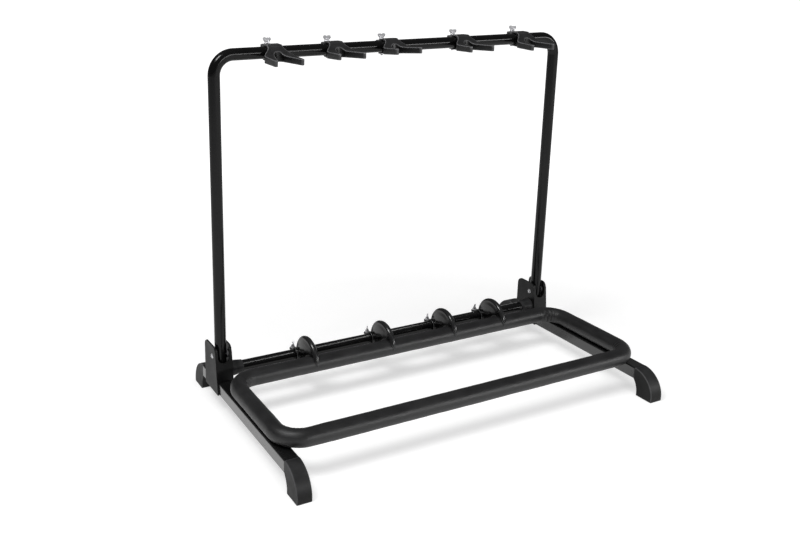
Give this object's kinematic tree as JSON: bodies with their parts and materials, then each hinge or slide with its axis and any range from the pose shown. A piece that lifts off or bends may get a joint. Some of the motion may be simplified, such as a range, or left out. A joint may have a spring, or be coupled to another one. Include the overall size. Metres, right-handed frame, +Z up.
{
  "type": "multi-guitar rack",
  "caption": "Folding floor rack for guitars: padded loop base on curved feet, upright tube frame with neck yokes, and disc dividers on a rear cross-bar.",
  "frame": {"origin": "on the floor, midway between the two side rails and midway along their length", "axes": "+X to the rack's right seen from the front, +Y to the rear, +Z up"},
  "size_m": [0.7954, 0.4732, 0.6926],
  "materials": {
    "rail_paint": "semi-gloss black powder coat",
    "bracket_paint": "semi-gloss black powder coat",
    "tube_paint": "gloss black powder coat",
    "foot_plastic": "matt black moulded plastic",
    "socket_plastic": "satin black moulded plastic",
    "black_screw": "black oxide",
    "zinc": "zinc plated",
    "rivet_steel": "bright plated",
    "foam": "matt black closed-cell foam",
    "yoke_rubber": "satin black moulded rubber",
    "divider_rubber": "satin black moulded rubber",
    "liner_plastic": "smooth black plastic",
    "wing_nickel": "nickel plated"
  },
  "bodies": {
    "base": {"left_rail": "rail_paint", "right_rail": "rail_paint", "front_left_foot": "foot_plastic", "front_right_foot": "foot_plastic", "rear_left_foot": "foot_plastic", "rear_right_foot": "foot_plastic", "foot_screws": "black_screw", "left_bracket": "bracket_paint", "right_bracket": "bracket_paint", "cross_bar": "tube_paint", "bar_sockets": "socket_plastic", "bar_inserts": "zinc", "bar_bolts": "zinc", "loop_tube": "tube_paint", "loop_foam": "foam", "loop_bolts": "black_screw", "pivot_rivets": "rivet_steel", "pivot_spacers": "liner_plastic"},
    "upright": {"upright_frame": "tube_paint", "upright_plugs": "socket_plastic"},
    "yoke_carrier_1": {"yoke_liner_1": "liner_plastic"},
    "yoke_body_1": {"yoke_1": "yoke_rubber", "yoke_nut_1": "zinc"},
    "yoke_knob_1": {"yoke_screw_1": "wing_nickel"},
    "yoke_carrier_2": {"yoke_liner_2": "liner_plastic"},
    "yoke_body_2": {"yoke_2": "yoke_rubber", "yoke_nut_2": "zinc"},
    "yoke_knob_2": {"yoke_screw_2": "wing_nickel"},
    "yoke_carrier_3": {"yoke_liner_3": "liner_plastic"},
    "yoke_body_3": {"yoke_3": "yoke_rubber", "yoke_nut_3": "zinc"},
    "yoke_knob_3": {"yoke_screw_3": "wing_nickel"},
    "yoke_carrier_4": {"yoke_liner_4": "liner_plastic"},
    "yoke_body_4": {"yoke_4": "yoke_rubber", "yoke_nut_4": "zinc"},
    "yoke_knob_4": {"yoke_screw_4": "wing_nickel"},
    "yoke_carrier_5": {"yoke_liner_5": "liner_plastic"},
    "yoke_body_5": {"yoke_5": "yoke_rubber", "yoke_nut_5": "zinc"},
    "yoke_knob_5": {"yoke_screw_5": "wing_nickel"},
    "divider_carrier_1": {"divider_liner_1": "liner_plastic"},
    "divider_body_1": {"divider_1": "divider_rubber", "divider_nut_1": "zinc"},
    "divider_knob_1": {"divider_screw_1": "wing_nickel"},
    "divider_carrier_2": {"divider_liner_2": "liner_plastic"},
    "divider_body_2": {"divider_2": "divider_rubber", "divider_nut_2": "zinc"},
    "divider_knob_2": {"divider_screw_2": "wing_nickel"},
    "divider_carrier_3": {"divider_liner_3": "liner_plastic"},
    "divider_body_3": {"divider_3": "divider_rubber", "divider_nut_3": "zinc"},
    "divider_knob_3": {"divider_screw_3": "wing_nickel"},
    "divider_carrier_4": {"divider_liner_4": "liner_plastic"},
    "divider_body_4": {"divider_4": "divider_rubber", "divider_nut_4": "zinc"},
    "divider_knob_4": {"divider_screw_4": "wing_nickel"}
  },
  "joints": [
    {"name": "frame_fold", "type": "hinge", "parent": "base", "child": "upright", "pos_m": [0, 0.1255, 0.103], "axis": [1, 0, 0], "range_deg": [0, 90]},
    {"name": "yoke_slide_1", "type": "slide", "parent": "upright", "child": "yoke_carrier_1", "axis": [1, 0, 0], "range_m": [-0.06, 0.028]},
    {"name": "yoke_tilt_1", "type": "hinge", "parent": "yoke_carrier_1", "child": "yoke_body_1", "pos_m": [-0.266, 0.1255, 0.668], "axis": [1, 0, 0], "range_deg": [-92.4, 87.6]},
    {"name": "yoke_screw_turn_1", "type": "hinge", "parent": "yoke_body_1", "child": "yoke_knob_1", "pos_m": [-0.266, 0.15048, 0.66905], "axis": [0, -0.0419, 0.9991], "range_deg": [0, 360]},
    {"name": "yoke_slide_2", "type": "slide", "parent": "upright", "child": "yoke_carrier_2", "axis": [1, 0, 0], "range_m": [-0.028, 0.026]},
    {"name": "yoke_tilt_2", "type": "hinge", "parent": "yoke_carrier_2", "child": "yoke_body_2", "pos_m": [-0.143, 0.1255, 0.668], "axis": [1, 0, 0], "range_deg": [-88.4, 91.6]},
    {"name": "yoke_screw_turn_2", "type": "hinge", "parent": "yoke_body_2", "child": "yoke_knob_2", "pos_m": [-0.143, 0.15049, 0.6673], "axis": [0, 0.0279, 0.9996], "range_deg": [0, 360]},
    {"name": "yoke_slide_3", "type": "slide", "parent": "upright", "child": "yoke_carrier_3", "axis": [1, 0, 0], "range_m": [-0.026, 0.049]},
    {"name": "yoke_tilt_3", "type": "hinge", "parent": "yoke_carrier_3", "child": "yoke_body_3", "pos_m": [-0.0245, 0.1255, 0.668], "axis": [1, 0, 0], "range_deg": [-85.7, 94.3]},
    {"name": "yoke_screw_turn_3", "type": "hinge", "parent": "yoke_body_3", "child": "yoke_knob_3", "pos_m": [-0.0245, 0.15043, 0.66613], "axis": [0, 0.075, 0.9972], "range_deg": [0, 360]},
    {"name": "yoke_slide_4", "type": "slide", "parent": "upright", "child": "yoke_carrier_4", "axis": [1, 0, 0], "range_m": [-0.049, 0.041]},
    {"name": "yoke_tilt_4", "type": "hinge", "parent": "yoke_carrier_4", "child": "yoke_body_4", "pos_m": [0.14, 0.1255, 0.668], "axis": [1, 0, 0], "range_deg": [-88.9, 91.1]},
    {"name": "yoke_screw_turn_4", "type": "hinge", "parent": "yoke_body_4", "child": "yoke_knob_4", "pos_m": [0.14, 0.15049, 0.66752], "axis": [0, 0.0192, 0.9998], "range_deg": [0, 360]},
    {"name": "yoke_slide_5", "type": "slide", "parent": "upright", "child": "yoke_carrier_5", "axis": [1, 0, 0], "range_m": [-0.041, 0.038]},
    {"name": "yoke_tilt_5", "type": "hinge", "parent": "yoke_carrier_5", "child": "yoke_body_5", "pos_m": [0.288, 0.1255, 0.668], "axis": [1, 0, 0], "range_deg": [-92, 88]},
    {"name": "yoke_screw_turn_5", "type": "hinge", "parent": "yoke_body_5", "child": "yoke_knob_5", "pos_m": [0.288, 0.15049, 0.66887], "axis": [0, -0.0349, 0.9994], "range_deg": [0, 360]},
    {"name": "divider_slide_1", "type": "slide", "parent": "base", "child": "divider_carrier_1", "axis": [1, 0, 0], "range_m": [-0.105, 0.068]},
    {"name": "divider_swing_1", "type": "hinge", "parent": "divider_carrier_1", "child": "divider_body_1", "pos_m": [-0.211, 0.1255, 0.07], "axis": [-1, 0, 0], "range_deg": [0, 100]},
    {"name": "divider_screw_turn_1", "type": "hinge", "parent": "divider_body_1", "child": "divider_knob_1", "pos_m": [-0.216, 0.1475, 0.07], "axis": [0, 0, 1], "range_deg": [0, 360]},
    {"name": "divider_slide_2", "type": "slide", "parent": "base", "child": "divider_carrier_2", "axis": [1, 0, 0], "range_m": [-0.068, 0.057]},
    {"name": "divider_swing_2", "type": "hinge", "parent": "divider_carrier_2", "child": "divider_body_2", "pos_m": [-0.0395, 0.1255, 0.07], "axis": [-1, 0, 0], "range_deg": [0, 100]},
    {"name": "divider_screw_turn_2", "type": "hinge", "parent": "divider_body_2", "child": "divider_knob_2", "pos_m": [-0.0445, 0.1475, 0.07], "axis": [0, 0, 1], "range_deg": [0, 360]},
    {"name": "divider_slide_3", "type": "slide", "parent": "base", "child": "divider_carrier_3", "axis": [1, 0, 0], "range_m": [-0.057, 0.044]},
    {"name": "divider_swing_3", "type": "hinge", "parent": "divider_carrier_3", "child": "divider_body_3", "pos_m": [0.1095, 0.1255, 0.07], "axis": [-1, 0, 0], "range_deg": [0, 100]},
    {"name": "divider_screw_turn_3", "type": "hinge", "parent": "divider_body_3", "child": "divider_knob_3", "pos_m": [0.1045, 0.1475, 0.07], "axis": [0, 0, 1], "range_deg": [0, 360]},
    {"name": "divider_slide_4", "type": "slide", "parent": "base", "child": "divider_carrier_4", "axis": [1, 0, 0], "range_m": [-0.044, 0.079]},
    {"name": "divider_swing_4", "type": "hinge", "parent": "divider_carrier_4", "child": "divider_body_4", "pos_m": [0.234, 0.1255, 0.07], "axis": [-1, 0, 0], "range_deg": [0, 100]},
    {"name": "divider_screw_turn_4", "type": "hinge", "parent": "divider_body_4", "child": "divider_knob_4", "pos_m": [0.229, 0.1475, 0.07], "axis": [0, 0, 1], "range_deg": [0, 360]}
  ]
}
